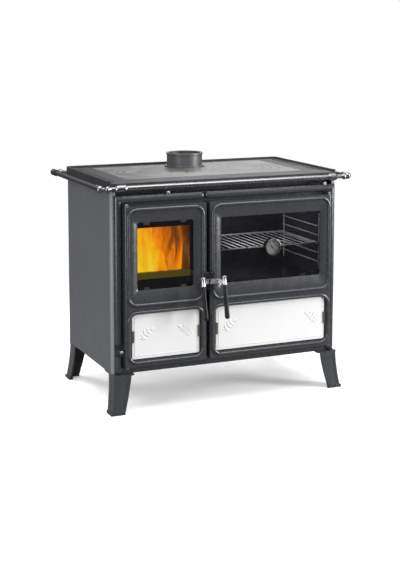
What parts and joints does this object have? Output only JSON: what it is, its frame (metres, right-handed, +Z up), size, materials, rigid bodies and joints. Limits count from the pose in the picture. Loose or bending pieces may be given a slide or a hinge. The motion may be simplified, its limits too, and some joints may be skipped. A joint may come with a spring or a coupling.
{
  "type": "wood cookstove",
  "caption": "Free-standing wood cookstove on sabre legs, with a glazed firebox door, a glazed oven door with a thermometer, a cast hob, a flue collar and chrome rails round the top.",
  "frame": {"origin": "on the floor, under the middle of the stove's whole outline", "axes": "+X to the user's right, -Y towards the user who faces the doors, +Z up"},
  "size_m": [1.047, 0.6988, 0.911],
  "materials": {
    "anthracite_enamel": "satin stove enamel on sheet steel",
    "black_casting": "satin black enamel on cast iron",
    "hob_iron": "ground and oiled cast iron",
    "chrome": "polished chrome plate",
    "steel_sheet": "zinc-coated sheet steel",
    "dark_steel": "heat-resistant black paint",
    "oven_enamel": "glossy black vitreous enamel",
    "fireclay": "fired clay",
    "glazed_tile": "white glazed ceramic",
    "stove_glass": "ceramic glass with a black border",
    "rope_seal": "braided glass-fibre rope",
    "clip_steel": "warm spring steel",
    "pin_steel": "turned steel",
    "grip_black": "black heat-resistant resin",
    "dial_face": "printed sheet",
    "needle_black": "matt black"
  },
  "bodies": {
    "stove_body": {"ash_drawer": "steel_sheet", "back_panel": "steel_sheet", "base_plate": "dark_steel", "door_keeper": "pin_steel", "fire_grate": "hob_iron", "firebox_back_lining": "fireclay", "firebox_casing": "dark_steel", "firebox_floor": "hob_iron", "firebox_front": "black_casting", "firebox_left_lining": "fireclay", "firebox_right_lining": "fireclay", "flue_collar": "black_casting", "front_left_leg": "black_casting", "front_rail": "chrome", "front_right_leg": "black_casting", "hinge_pins": "pin_steel", "hob_frame": "black_casting", "hob_plate": "hob_iron", "left_rail": "chrome", "left_side_panel": "anthracite_enamel", "leg_bolts": "pin_steel", "oven_front": "black_casting", "oven_liner": "oven_enamel", "oven_runners": "chrome", "oven_shelf": "chrome", "rail_fittings": "chrome", "rear_left_leg": "black_casting", "rear_right_leg": "black_casting", "right_rail": "chrome", "right_side_panel": "anthracite_enamel", "smoke_duct_floor": "steel_sheet"},
    "firebox_door": {"firebox_door": "black_casting", "firebox_door_seal": "rope_seal", "firebox_glass": "stove_glass", "firebox_glass_clips": "clip_steel", "firebox_tile": "glazed_tile", "firebox_tile_clips": "clip_steel", "firebox_handle_fork": "black_casting"},
    "firebox_handle": {"firebox_handle_lever": "chrome", "firebox_handle_grip": "grip_black"},
    "oven_door": {"oven_door": "black_casting", "oven_door_seal": "rope_seal", "oven_glass": "stove_glass", "oven_glass_clips": "clip_steel", "oven_tile": "glazed_tile", "oven_tile_clips": "clip_steel", "oven_handle_fork": "black_casting", "thermometer_case": "chrome", "thermometer_dial": "dial_face", "thermometer_lens": "stove_glass"},
    "oven_handle": {"oven_handle_lever": "chrome", "oven_handle_grip": "grip_black"},
    "thermometer_needle": {"thermometer_needle": "needle_black"},
    "hob_ring": {"hob_ring": "hob_iron"},
    "hob_lid": {"hob_lid": "hob_iron"},
    "bypass_damper": {"bypass_damper": "pin_steel"},
    "secondary_air_slide": {"secondary_air_slide": "pin_steel"},
    "primary_air_slide": {"primary_air_slide": "pin_steel"}
  },
  "joints": [
    {"name": "firebox_door_swing", "type": "hinge", "parent": "stove_body", "child": "firebox_door", "pos_m": [-0.416, -0.25363, 0.475], "axis": [0, 0, -1], "range_deg": [0, 90]},
    {"name": "oven_door_swing", "type": "hinge", "parent": "stove_body", "child": "oven_door", "pos_m": [0.416, -0.25363, 0.475], "axis": [0, 0, 1], "range_deg": [0, 105]},
    {"name": "firebox_handle_turn", "type": "hinge", "parent": "firebox_door", "child": "firebox_handle", "pos_m": [-0.107, -0.27364, 0.477], "axis": [0, 0, 1], "range_deg": [0, 22]},
    {"name": "oven_handle_turn", "type": "hinge", "parent": "oven_door", "child": "oven_handle", "pos_m": [-0.088, -0.27364, 0.477], "axis": [0, 0, -1], "range_deg": [0, 22]},
    {"name": "thermometer_needle_turn", "type": "hinge", "parent": "oven_door", "child": "thermometer_needle", "pos_m": [0.1675, -0.26064, 0.586], "axis": [0, 1, 0], "range_deg": [-100, 170]},
    {"name": "hob_ring_lift", "type": "slide", "parent": "stove_body", "child": "hob_ring", "axis": [0, 0, 1], "range_m": [0, 0.12]},
    {"name": "hob_lid_lift", "type": "slide", "parent": "hob_ring", "child": "hob_lid", "axis": [0, 0, 1], "range_m": [0, 0.15]},
    {"name": "bypass_damper_pull", "type": "slide", "parent": "stove_body", "child": "bypass_damper", "axis": [0, -1, 0], "range_m": [0, 0.06]},
    {"name": "secondary_air_pull", "type": "slide", "parent": "stove_body", "child": "secondary_air_slide", "axis": [0, -1, 0], "range_m": [0, 0.03]},
    {"name": "primary_air_pull", "type": "slide", "parent": "stove_body", "child": "primary_air_slide", "axis": [0, -1, 0], "range_m": [0, 0.03]}
  ]
}
